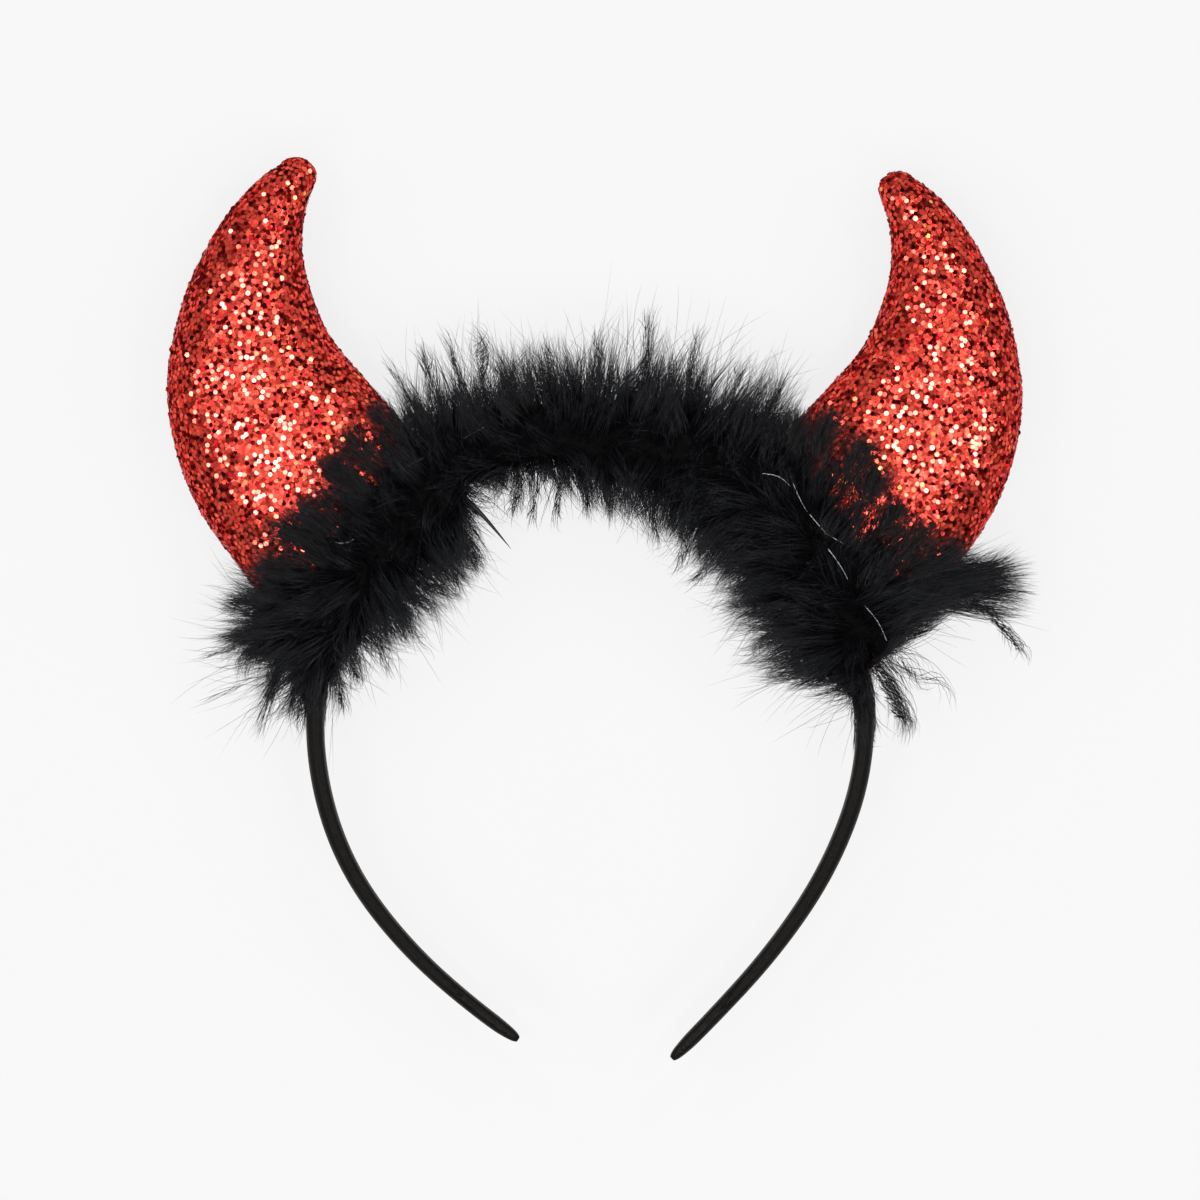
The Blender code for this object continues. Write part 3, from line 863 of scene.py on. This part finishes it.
def flake_bodies(spots, normals, tones_and_dark_reflections, rng):
    """Closed hexagonal flakes: a flat top over a point that is sunk into the ground."""
    count = len(spots)
    tilt = np.abs(rng.normal(0.0, sizes().flake_tilt, count))
    side = unit(np.cross(normals, unit(rng.normal(size=(count, 3)))))
    faces = unit(normals * np.cos(tilt)[:, None] + side * np.sin(tilt)[:, None])
    first = unit(np.cross(faces, unit(rng.normal(size=(count, 3)))))
    second = np.cross(faces, first)
    radius = sizes().flake_size / 2 * rng.uniform(0.90, 1.04, count)
    lift = np.sin(tilt) * radius * 0.25 + rng.uniform(0.02, 0.13, count) * MM
    middle = spots + normals * lift[:, None]
    turns = (np.arange(6) * math.pi / 3)[None, :, None]
    corners = np.cos(turns) * first[:, None] + np.sin(turns) * second[:, None]
    rim = middle[:, None] + radius[:, None, None] * corners
    apex = middle - faces * FLAKE_DEPTH
    points = np.concatenate([rim, apex[:, None]], 1).reshape(-1, 3)
    points[:, 2] = np.maximum(points[:, 2], 0.0)
    base = (np.arange(count) * 7)[:, None]
    tops = base + np.arange(6)[None]
    sides = np.concatenate([base + np.array([[(k + 1) % 6, k, 6]]) for k in range(6)])
    return points, [tops, sides], np.repeat(tones_and_dark_reflections, 7)


def build_glitter():
    """The chunky hexagonal flakes on each horn."""
    foil = glitter_foil()
    for seed, node in enumerate(("left_horn", "right_horn")):
        rng = np.random.default_rng(31 + seed)
        skin = bpy.data.objects[node + "_ground"]
        spots, normals = sample_skin(skin, sizes().flake_count * 6, rng)
        kept = spread_out(spots, sizes().flake_spacing, sizes().flake_count)
        spots, normals = spots[kept], normals[kept]
        patch = waves(rng, 10, 60.0, 260.0)(spots)
        tones_and_dark_reflections = np.clip(0.52 + 0.04 * patch + rng.normal(0.0, 0.16, len(spots)), 0.3, 1.0)
        # Painted dark reflection: a share of flakes is made near-black maroon, as if they mirrored
        # dark surroundings
        dark = rng.uniform(size=len(spots)) < PAINTED_DARK_REFLECTION_SHARE
        tones_and_dark_reflections = np.where(dark, rng.uniform(0.0, 0.22, len(spots)), tones_and_dark_reflections)
        points, faces, tone = flake_bodies(spots, normals, tones_and_dark_reflections, rng)
        flakes = mesh_piece(node + "_glitter", points, faces, foil, {"tone": tone}, flat=True)
        settle(flakes, "glitter")


def keep_clear(points, trees, gap):
    """Push points inside a solid, or nearer to it than a gap, out through its nearest face."""
    moved = points.copy()
    flat = moved.reshape(-1, 3)
    for tree, low, high in trees:
        near = np.where(((flat > low - gap) & (flat < high + gap)).all(1))[0]
        for index in near:
            point = Vector(flat[index])
            place, normal, _, distance = tree.find_nearest(point)
            inside = (point - place).dot(normal) < 0
            if inside or distance < gap:
                flat[index] = place + normal * gap
    return moved


def solid_trees(names):
    """Search trees and boxes of pieces that the down keeps clear of."""
    found = []
    for name in names:
        obj = bpy.data.objects[name]
        points = coordinates(obj)
        found.append((skin_tree(obj), points.min(0), points.max(0)))
    return found


def build_core():
    """The packed down in the middle of the marabou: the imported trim, softened and drawn in."""
    core = merged_copy("feather_trim", "marabou_core")
    apply_modifier(core, "REMESH", mode="VOXEL", voxel_size=1.5 * MM)
    apply_modifier(core, "SMOOTH", factor=0.6, iterations=6)
    arc = Arc()
    points = coordinates(core)
    angle, reach, height = arc.locate(points)
    depth = np.hypot(reach, height)
    share = 1.0 - 0.27 * np.minimum(depth / (9.0 * MM), 1.0)
    degrees = np.degrees(angle)
    share *= 0.12 + 0.88 * np.clip(np.minimum(degrees + 1.0, 178.0 - degrees) / 14.0, 0.0, 1.0)
    inner, outer = (outline_column(degrees, column) * MM for column in (1, 3))
    inner, outer = (np.maximum(limit * 0.82 - 2.0 * MM, 0.5 * MM) for limit in (inner, outer))
    reach = reach * share
    reach = np.where(reach > 0, outer * np.tanh(reach / outer), inner * np.tanh(reach / inner))
    points = arc.point(angle, reach, height * share)
    points = keep_clear(points, solid_trees(HORN_SKINS), CORE_GAP)
    move_vertices(core, points)
    select_only(core)
    bpy.ops.object.shade_smooth()
    core.data.materials.append(marabou_ground())
    settle(core, "marabou", "feather_trim")


def strand_bodies(paths, radius, shade, rng):
    """Closed three-sided strands that taper to a point along their paths."""
    count, steps, _ = paths.shape
    sections = steps - 1
    tangents = unit(np.gradient(paths, axis=1))[:, :sections]
    across = unit(np.cross(tangents, unit(rng.normal(size=(count, 1, 3)))))
    over = np.cross(tangents, across)
    taper = np.linspace(1.0, 0.5, sections)
    wide = radius[:, None] * taper[None]
    turns = np.arange(3) * 2 * math.pi / 3
    ring = np.cos(turns)[:, None] * across[:, :, None] + np.sin(turns)[:, None] * over[:, :, None]
    rings = paths[:, :sections, None] + wide[..., None, None] * ring
    points = np.concatenate([rings.reshape(count, -1, 3), paths[:, -1:]], 1).reshape(-1, 3)
    size = 3 * sections + 1
    base = (np.arange(count) * size)[:, None]
    quads = []
    for section in range(sections - 1):
        for k in range(3):
            here, there = 3 * section + k, 3 * section + (k + 1) % 3
            quads.append(base + np.array([[here, there, there + 3, here + 3]]))
    last = 3 * (sections - 1)
    triangles = [base + np.array([[last + k, last + (k + 1) % 3, size - 1]]) for k in range(3)]
    triangles.append(base + np.array([[0, 2, 1]]))
    # Painted tip light: nothing at the root, growing to full at the tip
    along = np.concatenate([np.repeat(np.linspace(0.0, 0.8, sections), 3), [1.0]])
    painted_tip_lights = (shade[:, None] * along[None]).ravel()
    return points, [np.concatenate(quads), np.concatenate(triangles)], painted_tip_lights


class Down:
    """Grows strands of down out of the core: in tufts that lean together, and some that stray."""

    def __init__(self, core):
        self.rng = np.random.default_rng(77)
        self.arc = Arc()
        self.core = core
        self.lean = waves(self.rng, 8, 90.0, 260.0)
        self.swirl = waves(self.rng, 10, 250.0, 600.0)
        self.parting = waves(self.rng, 5, 30.0, 90.0)

    def side(self, points, reach):
        """From -1 on the head's side of the parting to 1 on the far side."""
        return np.tanh((reach + 1.5 * MM * self.parting(points)) / (2.2 * MM))

    def flow(self, points):
        """The direction in which the down is combed: away from the front's parting."""
        angle, reach, height = self.arc.locate(points)
        degrees = np.degrees(angle)
        outward = self.arc.outward(angle)
        section = unit(reach[:, None] * outward + height[:, None] * UP)
        side = self.side(points, reach)
        outer = (side + 1) / 2
        lean = outline_column(degrees, 5) * (1 - outer) + outline_column(degrees, 6) * outer
        lean = lean + 0.30 * self.lean(points) + 0.14 * self.swirl(points)
        level = 0.85 * side[:, None] * outward + 0.45 * section
        return unit(level + lean[:, None] * self.arc.along(angle))

    def reach_share(self, roots, tips, looseness):
        """Share of a strand inside the outline: dense at looseness 0, loose at 1."""
        _, start, _ = self.arc.locate(roots)
        angle, end, _ = self.arc.locate(tips)
        degrees = np.degrees(angle)
        limits = []
        for dense, loose in ((1, 2), (3, 4)):
            near, far = outline_column(degrees, dense), outline_column(degrees, loose)
            limits.append((near + (far - near) * looseness) * MM)
        limit = np.where(end > 0, limits[1], -limits[0])
        room = (limit - start) / np.where(np.abs(end - start) < 1e-6, 1e-6, end - start)
        over = np.where(end > 0, end > limit, end < limit)
        return np.clip(np.where(over, room, 1.0), 0.12, 1.0)

    def coat(self, count, steps):
        """Paths of the strands that cover the core."""
        rng = self.rng

        def weight(places, normals):
            _, reach, _ = self.arc.locate(places)
            facing = 0.35 + 0.65 * (normals[:, 2] > -0.35)
            return facing * (1.0 + 0.9 * (np.abs(reach) > 8.0 * MM))

        roots, normals = sample_skin(self.core, count, rng, weight)
        tufts = count // TUFT_STRANDS
        centres = roots[:tufts]
        tree = KDTree(tufts)
        for index, centre in enumerate(centres):
            tree.insert(centre, index)
        tree.balance()
        owner = np.array([tree.find(Vector(root))[1] for root in roots])
        mean = sizes().strand_length
        length = mean * rng.uniform(0.7, 1.3, tufts)
        bend = rng.normal(0.0, 0.30, (tufts, 3)) - 0.25 * UP
        heading = self.flow(centres) + 0.30 * normals[:tufts]
        heading = unit(heading + rng.normal(0.0, 0.15, (tufts, 3)))
        looseness = rng.beta(1.1, 1.9, tufts)
        stray = rng.uniform(size=count) < STRAY_SHARE
        jitter = np.where(stray, 0.30, 0.08)[:, None]
        own = 0.5 * self.flow(roots) + 0.2 * normals + 0.7 * heading[owner]
        own = unit(own + jitter * rng.normal(size=(count, 3)))
        lengths = length[owner] * rng.uniform(0.5, 1.15, count) * np.where(stray, 1.15, 1.0)
        pull = np.where(stray, 0.0, rng.uniform(0.35, 0.85, count))
        t = np.linspace(0.0, 1.0, steps)[None, :, None]
        curl = bend[owner] + np.where(stray, 0.45, 0.12)[:, None] * rng.normal(size=(count, 3))

        def grown(lengths):
            reach = lengths[:, None, None]
            paths = roots[:, None] + reach * (t * own[:, None] + 0.5 * t**2 * curl[:, None])
            spine = centres[owner][:, None] + reach * (
                t * heading[owner][:, None] + 0.5 * t**2 * bend[owner][:, None]
            )
            return paths + pull[:, None, None] * t**1.5 * (spine - paths)

        tips = grown(lengths)[:, -1]
        own_looseness = looseness[owner] + np.where(stray, rng.uniform(0.0, 0.7, count), 0.0)
        return grown(lengths * self.reach_share(roots, tips, own_looseness))

    def tufts(self, steps):
        """Paths of the long tufts that stand out of the outline, each fanned from its own shaft."""
        rng = self.rng
        grown = []
        for row in TUFTS:
            start, end = (self.arc.centre + np.array(row[k : k + 3]) * MM for k in (0, 3))
            spread, strands = row[6], row[7]
            shaft = end - start
            first = unit(np.cross(shaft, UP))
            second = unit(np.cross(shaft, first))
            sweep = first * rng.normal(0.0, 0.10) * np.linalg.norm(shaft)
            share = rng.uniform(0.0, 0.72, strands)[:, None]
            turn = rng.uniform(0.0, 2 * math.pi, strands)[:, None]
            fan = np.cos(turn) * first + 0.6 * np.sin(turn) * second
            wide = spread * MM * rng.uniform(0.1, 1.0, strands)[:, None] * (1.15 - 0.75 * share)
            root = start + share * shaft + fan * wide * 0.45
            tip = start + (share + (1.0 - share) * rng.uniform(0.35, 1.0, strands)[:, None]) * shaft
            tip = tip + fan * wide + rng.normal(0.0, 0.8 * MM, (strands, 3))
            middle = (root + tip) / 2 - fan * wide * 0.2 + sweep
            middle = middle + rng.normal(0.0, 0.9 * MM, (strands, 3))
            t = np.linspace(0.0, 1.0, steps)[None, :, None]
            early, midway, late = (1 - t) ** 2, 2 * t * (1 - t), t**2
            path = early * root[:, None] + midway * middle[:, None] + late * tip[:, None]
            grown.append(path)
        return np.concatenate(grown)

    def wisps(self, count, steps):
        """Paths of single long strands that stray well out of the outline."""
        rng = self.rng
        angle = np.radians(rng.uniform(2.0, 176.0, count))
        side = np.where(rng.uniform(size=count) < 0.45, -1.0, 1.0)
        degrees = np.degrees(angle)
        limit, loose = (
            np.where(side > 0, outline_column(degrees, k + 2), outline_column(degrees, k)) * MM
            for k in (1, 2)
        )
        reach = side * limit * rng.uniform(0.4, 0.75, count)
        start = self.arc.point(angle, reach, rng.uniform(-4.0, 12.0, count) * MM)
        heading = self.flow(start) * np.array([1.0, 1.0, 0.3])
        heading = unit(heading + rng.normal(0.0, 0.24, (count, 3)))
        length = (loose - limit * 0.6) * rng.uniform(0.5, 1.15, count)
        curl = rng.normal(0.0, 0.42, (count, 3))
        t = np.linspace(0.0, 1.0, steps)[None, :, None]
        bent = t * heading[:, None] + 0.5 * t**2 * curl[:, None]
        return start[:, None] + length[:, None, None] * bent


def build_marabou():
    """The down's strands, in pieces from the right end to the left one."""
    down = Down(bpy.data.objects["marabou_core"])
    material = marabou_down()
    trees = solid_trees((*HORN_SKINS, "satin_band"))
    groups = (
        (down.coat(sizes().strand_count, 4), 1.0),
        (down.tufts(5), 0.85),
        (down.wisps(WISPS, 6), 0.6),
    )
    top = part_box("feather_trim")[1][2]
    starts = np.radians([start for _, start in FLUFF_PIECES])
    parts = [[] for _ in FLUFF_PIECES]
    for paths, thickness in groups:
        paths[:, 1:] = keep_clear(paths[:, 1:], trees, STRAND_GAP)
        paths[..., 2] = np.maximum(paths[..., 2], LEAST_HEIGHT)
        above = paths[..., 2] - top
        squeezed = top + HEADROOM * np.tanh(above / HEADROOM)
        paths[..., 2] = np.where(above > 0, squeezed, paths[..., 2])
        count = len(paths)
        radius = sizes().strand_width / 2 * thickness * down.rng.uniform(0.6, 1.15, count)
        # Each strand's share of painted light at its tip
        shade = down.rng.uniform(0.1, 1.0, count) ** 1.5
        angle, _, _ = down.arc.locate(paths[:, 0])
        owner = np.searchsorted(starts, angle, side="right") - 1
        for index in range(len(FLUFF_PIECES)):
            mine = owner == index
            if mine.any():
                parts[index].append(strand_bodies(paths[mine], radius[mine], shade[mine], down.rng))
    for (name, _), bodies in zip(FLUFF_PIECES, parts):
        points, faces, painted_tip_lights = zip(*bodies)
        firsts = np.cumsum([0] + [len(body) for body in points])
        joined = [
            np.concatenate([group + first for group, first in zip(groups, firsts)])
            for groups in zip(*faces)
        ]
        floats = {"shade": np.concatenate(painted_tip_lights)}
        piece = mesh_piece(name, np.concatenate(points), joined, material, floats)
        settle(piece, "marabou")


def tube(name, points, radii, material):
    """A round thread through points, as a mesh with closed ends."""
    curve = bpy.data.curves.new(name, "CURVE")
    curve.dimensions = "3D"
    curve.bevel_depth = 1.0
    curve.bevel_resolution = 2
    curve.use_fill_caps = True
    curve.resolution_u = 8
    spline = curve.splines.new("NURBS")
    spline.points.add(len(points) - 1)
    for point, place, radius in zip(spline.points, points, radii):
        point.co = (*place, 1.0)
        point.radius = radius
    spline.use_endpoint_u = True
    spline.order_u = 3
    obj = add_object(name, curve)
    select_only(obj)
    bpy.ops.object.convert(target="MESH")
    bpy.ops.object.shade_smooth()
    obj.data.materials.append(material)
    return obj


def build_threads():
    """Bits of the boa's pale core thread that show on the front, and one bare quill."""
    arc = Arc()
    tree = skin_tree(bpy.data.objects["marabou_core"])
    material = core_thread()
    for number, route in enumerate(THREADS, 1):
        points = []
        for step, (right, crown) in enumerate(route):
            x, y = arc.centre[0] + right * MM, arc.centre[1] + crown * MM
            hit = tree.ray_cast(Vector((x, y, 0.2)), Vector((0.0, 0.0, -1.0)))[0]
            if hit is None:
                raise RuntimeError(f"thread {number} has no down under it")
            points.append((x, y, hit.z + THREAD_LIFT * THREAD_WEAVE[step % 2]))
        thread = tube(f"core_thread_{number}", points, [THREAD_RADIUS] * len(points), material)
        settle(thread, "marabou")
    shaft = [tuple(arc.centre + np.array(point) * MM) for point in QUILL]
    radii = [QUILL_RADIUS, QUILL_RADIUS, QUILL_RADIUS * 0.8, 0.05 * MM]
    quill = tube("bare_quill", shaft, radii, quill_horn())
    settle(quill, "marabou")


def add_light(name, off, compass, width, strength):
    light = bpy.data.lights.new(name, "AREA")
    light.shape = "DISK"
    light.size = width
    light.energy = LIGHT_RADIANCE * strength * math.pi * math.pi * (width / 2) ** 2
    obj = add_object(name, light)
    off, compass = math.radians(off), math.radians(compass)
    level = math.sin(off)
    direction = Vector((level * math.cos(compass), level * math.sin(compass), math.cos(off)))
    obj.location = direction * LIGHT_DISTANCE
    obj.rotation_euler = direction.to_track_quat("Z", "Y").to_euler()


def build_stage():
    """Pale floor, soft lights and the camera straight above."""
    bpy.ops.mesh.primitive_plane_add(size=FLOOR_SIZE, location=(0.0, 0.0, 0.0))
    floor = bpy.context.object
    floor.name = "floor"
    floor.data.materials.append(floor_paper())
    for number, row in enumerate(LIGHTS, 1):
        add_light(f"soft_light_{number}", *row)
    world = bpy.data.worlds.new("studio")
    bpy.context.scene.world = world
    world.use_nodes = True
    tree = world.node_tree
    background = tree.nodes["Background"]
    position = tree.nodes.new("ShaderNodeTexCoord")
    split = tree.nodes.new("ShaderNodeSeparateXYZ")
    ramp = tree.nodes.new("ShaderNodeValToRGB")
    tree.links.new(position.outputs["Generated"], split.inputs[0])
    tree.links.new(split.outputs["Z"], ramp.inputs["Fac"])
    tree.links.new(ramp.outputs["Color"], background.inputs["Color"])
    for element, (place, grey) in zip(ramp.color_ramp.elements, SKY):
        element.position = place
        element.color = (grey, grey, grey, 1.0)
    camera = bpy.data.cameras.new("camera")
    camera.sensor_width = SENSOR
    camera.lens = SENSOR * (CAMERA_HEIGHT - FRAME_LEVEL) / FRAME_WIDTH
    viewer = add_object("camera", camera)
    viewer.location = (*LOOK_AT, CAMERA_HEIGHT)
    bpy.context.scene.camera = viewer
    bpy.context.scene.view_settings.view_transform = "Standard"


class HEADBAND_OT_band(bpy.types.Operator):
    """Cover the band in satin"""

    bl_idname = "headband.band"
    bl_label = "Satin Band"

    def execute(self, context):
        build_band()
        return {"FINISHED"}


class HEADBAND_OT_horns(bpy.types.Operator):
    """Lacquer the horns' ground"""

    bl_idname = "headband.horns"
    bl_label = "Horns"

    def execute(self, context):
        build_horns()
        return {"FINISHED"}


class HEADBAND_OT_glitter(bpy.types.Operator):
    """Strew the horns with hexagonal flakes"""

    bl_idname = "headband.glitter"
    bl_label = "Glitter"

    def execute(self, context):
        build_glitter()
        return {"FINISHED"}


class HEADBAND_OT_core(bpy.types.Operator):
    """Make the packed down in the middle of the marabou"""

    bl_idname = "headband.core"
    bl_label = "Marabou Core"

    def execute(self, context):
        build_core()
        return {"FINISHED"}


class HEADBAND_OT_marabou(bpy.types.Operator):
    """Grow the marabou's strands"""

    bl_idname = "headband.marabou"
    bl_label = "Marabou Strands"

    def execute(self, context):
        build_marabou()
        return {"FINISHED"}


class HEADBAND_OT_threads(bpy.types.Operator):
    """Lay the core threads and the bare quill"""

    bl_idname = "headband.threads"
    bl_label = "Threads and Quill"

    def execute(self, context):
        build_threads()
        return {"FINISHED"}


class HEADBAND_OT_stage(bpy.types.Operator):
    """Set up the floor, the lights and the camera"""

    bl_idname = "headband.stage"
    bl_label = "Stage"

    def execute(self, context):
        build_stage()
        return {"FINISHED"}


class HEADBAND_PT_panel(bpy.types.Panel):
    """Lists the headband's sizes, colours and steps."""

    bl_label = "Devil Horns Headband"
    bl_idname = "HEADBAND_PT_panel"
    bl_space_type = "VIEW_3D"
    bl_region_type = "UI"
    bl_category = "Headband"

    def draw(self, context):
        for group in (context.scene.headband_sizes, context.scene.headband_colours):
            for name in group.__annotations__:
                self.layout.prop(group, name)
        for step in STEPS:
            self.layout.operator(step.bl_idname)


GROUPS = (HeadbandSizes, HeadbandColours)
STEPS = (
    HEADBAND_OT_band,
    HEADBAND_OT_horns,
    HEADBAND_OT_glitter,
    HEADBAND_OT_core,
    HEADBAND_OT_marabou,
    HEADBAND_OT_threads,
    HEADBAND_OT_stage,
)


def register():
    for cls in (*GROUPS, *STEPS, HEADBAND_PT_panel):
        bpy.utils.register_class(cls)
    bpy.types.Scene.headband_sizes = bpy.props.PointerProperty(type=HeadbandSizes)
    bpy.types.Scene.headband_colours = bpy.props.PointerProperty(type=HeadbandColours)


def unregister():
    del bpy.types.Scene.headband_colours
    del bpy.types.Scene.headband_sizes
    for cls in (HEADBAND_PT_panel, *reversed(STEPS), *reversed(GROUPS)):
        bpy.utils.unregister_class(cls)


def main():
    register()
    bpy.ops.headband.band()
    bpy.ops.headband.horns()
    bpy.ops.headband.glitter()
    bpy.ops.headband.core()
    bpy.ops.headband.marabou()
    bpy.ops.headband.threads()
    bpy.ops.headband.stage()


if __name__ == "__main__":
    main()
